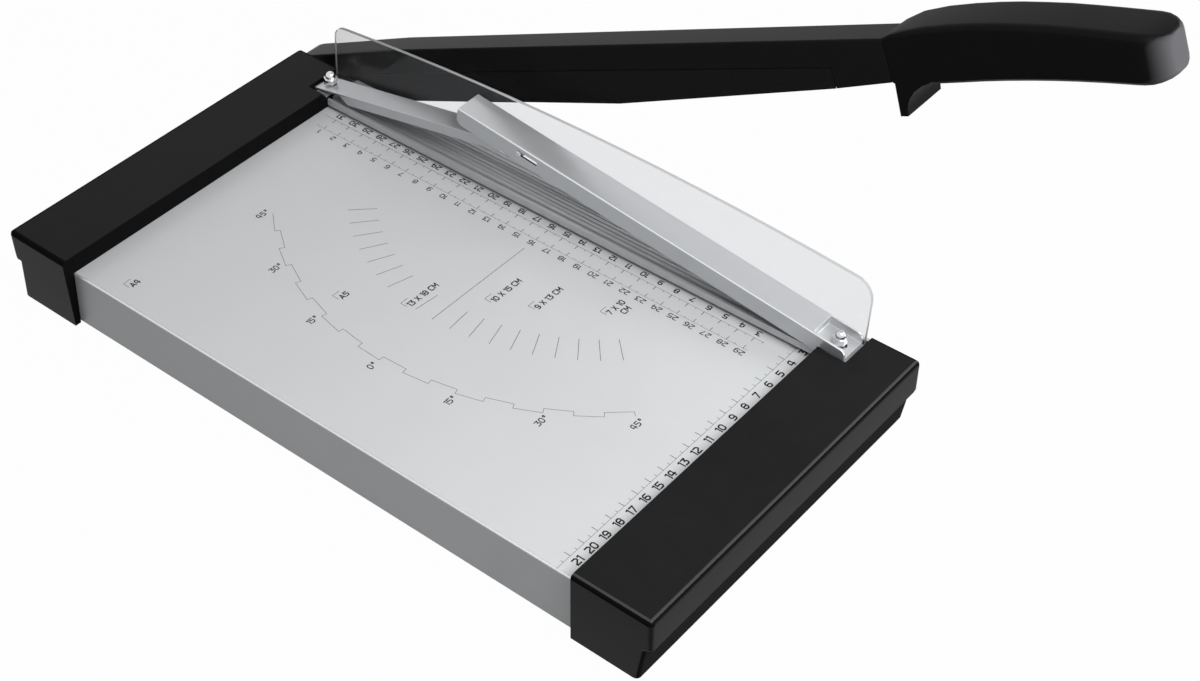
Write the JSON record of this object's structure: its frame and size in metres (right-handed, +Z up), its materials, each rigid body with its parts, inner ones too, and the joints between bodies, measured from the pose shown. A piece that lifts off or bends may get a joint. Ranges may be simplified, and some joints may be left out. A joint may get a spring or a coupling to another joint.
{
  "type": "guillotine paper cutter",
  "caption": "Desk guillotine for A4 sheets: printed metal board, black end caps, hinged cutting arm, clear guard and a hand-pressed paper clamp.",
  "frame": {"origin": "middle of the underside, on the centre cross channel's flat sole: halfway between the board's front fold and the cutting edge, and halfway between the two end caps", "axes": "+X from the board's front fold to the cutting edge, +Y from the operator's end to the arm's pivot, +Z up"},
  "size_m": [0.2579, 0.501, 0.2529],
  "materials": {
    "bed_paint": "satin",
    "cap_plastic": "satin",
    "foot_rubber": "matte",
    "zinc": "satin",
    "blade_steel": "satin",
    "brass": "satin",
    "arm_black": "satin",
    "blade_black": "satin",
    "grip": "matte",
    "lever_metal": "satin",
    "chrome": "polished",
    "clear_guard": "clear",
    "rail_metal": "satin"
  },
  "bodies": {
    "base": {"back_bar": "zinc", "bed_sheet": "bed_paint", "bracket_screw_1": "zinc", "bracket_screw_2": "zinc", "bracket_screw_3": "zinc", "cap_screw_1": "zinc", "cap_screw_2": "zinc", "cap_screw_3": "zinc", "cap_screw_4": "zinc", "cross_channel_1": "zinc", "cross_channel_2": "zinc", "cross_channel_3": "zinc", "finger_guard": "clear_guard", "fixed_blade": "blade_steel", "fixed_blade_screw_1": "zinc", "fixed_blade_screw_2": "zinc", "fixed_blade_screw_3": "zinc", "fixed_blade_screw_4": "zinc", "foot_1": "foot_rubber", "foot_2": "foot_rubber", "foot_3": "foot_rubber", "foot_4": "foot_rubber", "front_cap_nut": "chrome", "front_stud": "zinc", "operator_cap": "cap_plastic", "pivot_bolt": "zinc", "pivot_bracket": "blade_steel", "pivot_cap": "cap_plastic", "pivot_disc_spring": "blade_steel", "pivot_lock_nut": "zinc", "pivot_washer": "zinc", "rail_guide_pin_operator": "zinc", "rail_guide_pin_pivot": "zinc", "rail_spring_operator": "blade_steel", "rail_spring_pivot": "blade_steel", "rear_cap_nut": "chrome", "rear_stud": "zinc"},
    "arm": {"arm": "arm_black", "blade": "blade_black", "blade_screw_1": "zinc", "blade_screw_2": "zinc", "blade_screw_3": "zinc", "handle_grip": "grip", "handle_screw_1": "zinc", "handle_screw_2": "zinc", "pivot_bush": "brass"},
    "front_lever": {"front_press_lever": "lever_metal"},
    "rear_lever": {"link_pin": "chrome", "rear_press_lever": "lever_metal"},
    "clamp_rail": {"clamp_rail": "rail_metal"}
  },
  "joints": [
    {"name": "arm_pivot", "type": "hinge", "parent": "base", "child": "arm", "pos_m": [0.11025, 0.2025, 0.017], "axis": [-1, 0, 0], "range_deg": [-23.2, 35]},
    {"name": "front_lever_press", "type": "hinge", "parent": "base", "child": "front_lever", "pos_m": [0.087, -0.169, 0.0431], "axis": [-1, 0, 0], "range_deg": [0, 7.4], "stiffness_Nm_per_rad": 0.9, "springref_deg": -20.05},
    {"name": "rear_lever_press", "type": "hinge", "parent": "base", "child": "rear_lever", "pos_m": [0.087, 0.166, 0.0431], "axis": [1, 0, 0], "range_deg": [0, 10.2]},
    {"name": "rail_press", "type": "slide", "parent": "base", "child": "clamp_rail", "axis": [0, 0, -1], "range_m": [0, 0.00196], "deforming": ["rail_spring_operator", "rail_spring_pivot"]}
  ],
  "couplings": [
    {"joint": "rear_lever_press", "follows": "front_lever_press", "ratio": 1.369},
    {"joint": "rail_press", "follows": "front_lever_press", "m_per_rad": 0.01506}
  ]
}
